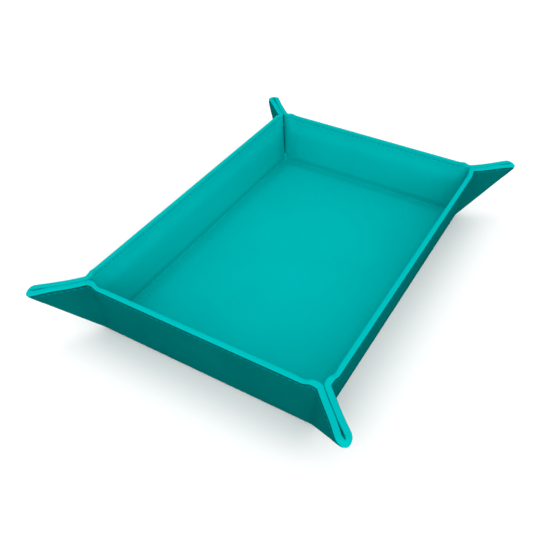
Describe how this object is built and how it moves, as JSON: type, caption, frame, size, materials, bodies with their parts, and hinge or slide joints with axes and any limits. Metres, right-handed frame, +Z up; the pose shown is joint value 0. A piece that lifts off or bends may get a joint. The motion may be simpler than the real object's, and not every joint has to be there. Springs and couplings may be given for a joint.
{
  "type": "folding dice tray",
  "caption": "Rectangular tray of soft lined sheet with leaning walls and corners pinched into ears held by magnets; it unfolds flat.",
  "frame": {"origin": "centre of the underside, on the surface the tray stands on", "axes": "+X right across the short way, +Y back along the long way, +Z up, with the tray set up"},
  "size_m": [0.1832, 0.2512, 0.0357],
  "materials": {
    "cover": "smooth fine-grained artificial leather, dark teal",
    "lining": "matte short-pile microfibre on thin foam, light teal",
    "board": "raw grey board",
    "magnet": "nickel-plated disc",
    "thread": "dark teal sewing thread"
  },
  "bodies": {
    "base": {"base_cover": "cover", "base_board": "board", "base_lining": "lining"},
    "left_wall": {"left_wall_cover": "cover", "left_wall_board": "board", "left_wall_lining": "lining", "left_wall_thread": "thread"},
    "right_wall": {"right_wall_cover": "cover", "right_wall_board": "board", "right_wall_lining": "lining", "right_wall_thread": "thread"},
    "front_wall": {"front_wall_cover": "cover", "front_wall_board": "board", "front_wall_lining": "lining", "front_wall_thread": "thread"},
    "back_wall": {"back_wall_cover": "cover", "back_wall_board": "board", "back_wall_lining": "lining", "back_wall_thread": "thread"},
    "left_front_ear": {"left_front_ear_cover": "cover", "left_front_ear_magnet": "magnet", "left_front_ear_lining": "lining", "left_front_ear_thread": "thread"},
    "left_back_ear": {"left_back_ear_cover": "cover", "left_back_ear_magnet": "magnet", "left_back_ear_lining": "lining", "left_back_ear_thread": "thread"},
    "right_back_ear": {"right_back_ear_cover": "cover", "right_back_ear_magnet": "magnet", "right_back_ear_lining": "lining", "right_back_ear_thread": "thread"},
    "right_front_ear": {"right_front_ear_cover": "cover", "right_front_ear_magnet": "magnet", "right_front_ear_lining": "lining", "right_front_ear_thread": "thread"},
    "front_right_ear": {"front_right_ear_cover": "cover", "front_right_ear_magnet": "magnet", "front_right_ear_lining": "lining", "front_right_ear_thread": "thread"},
    "front_left_ear": {"front_left_ear_cover": "cover", "front_left_ear_magnet": "magnet", "front_left_ear_lining": "lining", "front_left_ear_thread": "thread"},
    "back_left_ear": {"back_left_ear_cover": "cover", "back_left_ear_magnet": "magnet", "back_left_ear_lining": "lining", "back_left_ear_thread": "thread"},
    "back_right_ear": {"back_right_ear_cover": "cover", "back_right_ear_magnet": "magnet", "back_right_ear_lining": "lining", "back_right_ear_thread": "thread"}
  },
  "joints": [
    {"name": "left_wall_fold", "type": "hinge", "parent": "base", "child": "left_wall", "pos_m": [-0.06483, 0, 0], "axis": [0, -1, 0], "range_deg": [0, 80]},
    {"name": "right_wall_fold", "type": "hinge", "parent": "base", "child": "right_wall", "pos_m": [0.06483, 0, 0], "axis": [0, 1, 0], "range_deg": [0, 80]},
    {"name": "front_wall_fold", "type": "hinge", "parent": "base", "child": "front_wall", "pos_m": [0, -0.09883, 0], "axis": [1, 0, 0], "range_deg": [0, 80]},
    {"name": "back_wall_fold", "type": "hinge", "parent": "base", "child": "back_wall", "pos_m": [0, 0.09883, 0], "axis": [-1, 0, 0], "range_deg": [0, 80]},
    {"name": "left_front_ear_fold", "type": "hinge", "parent": "left_wall", "child": "left_front_ear", "pos_m": [-0.06064, -0.09563, 0.00043], "axis": [-0.1711, -0.1711, 0.9703], "range_deg": [0, 45.87]},
    {"name": "left_back_ear_fold", "type": "hinge", "parent": "left_wall", "child": "left_back_ear", "pos_m": [-0.06064, 0.09563, 0.00043], "axis": [0.1711, -0.1711, -0.9703], "range_deg": [0, 45.87]},
    {"name": "right_back_ear_fold", "type": "hinge", "parent": "right_wall", "child": "right_back_ear", "pos_m": [0.06064, 0.09563, 0.00043], "axis": [0.1711, 0.1711, 0.9703], "range_deg": [0, 45.87]},
    {"name": "right_front_ear_fold", "type": "hinge", "parent": "right_wall", "child": "right_front_ear", "pos_m": [0.06064, -0.09563, 0.00043], "axis": [-0.1711, 0.1711, -0.9703], "range_deg": [0, 45.87]},
    {"name": "front_right_ear_fold", "type": "hinge", "parent": "front_wall", "child": "front_right_ear", "pos_m": [0.06163, -0.09464, 0.00043], "axis": [0.1711, -0.1711, 0.9703], "range_deg": [0, 45.87]},
    {"name": "front_left_ear_fold", "type": "hinge", "parent": "front_wall", "child": "front_left_ear", "pos_m": [-0.06163, -0.09464, 0.00043], "axis": [0.1711, 0.1711, -0.9703], "range_deg": [0, 45.87]},
    {"name": "back_left_ear_fold", "type": "hinge", "parent": "back_wall", "child": "back_left_ear", "pos_m": [-0.06163, 0.09464, 0.00043], "axis": [-0.1711, 0.1711, 0.9703], "range_deg": [0, 45.87]},
    {"name": "back_right_ear_fold", "type": "hinge", "parent": "back_wall", "child": "back_right_ear", "pos_m": [0.06163, 0.09464, 0.00043], "axis": [-0.1711, -0.1711, -0.9703], "range_deg": [0, 45.87]}
  ],
  "couplings": [
    {"joint": "right_wall_fold", "follows": "left_wall_fold", "ratio": 1},
    {"joint": "front_wall_fold", "follows": "left_wall_fold", "ratio": 1},
    {"joint": "back_wall_fold", "follows": "left_wall_fold", "ratio": 1},
    {"joint": "left_front_ear_fold", "follows": "left_wall_fold", "ratio": 0.5733},
    {"joint": "left_back_ear_fold", "follows": "left_wall_fold", "ratio": 0.5733},
    {"joint": "right_back_ear_fold", "follows": "left_wall_fold", "ratio": 0.5733},
    {"joint": "right_front_ear_fold", "follows": "left_wall_fold", "ratio": 0.5733},
    {"joint": "front_right_ear_fold", "follows": "left_wall_fold", "ratio": 0.5733},
    {"joint": "front_left_ear_fold", "follows": "left_wall_fold", "ratio": 0.5733},
    {"joint": "back_left_ear_fold", "follows": "left_wall_fold", "ratio": 0.5733},
    {"joint": "back_right_ear_fold", "follows": "left_wall_fold", "ratio": 0.5733}
  ]
}
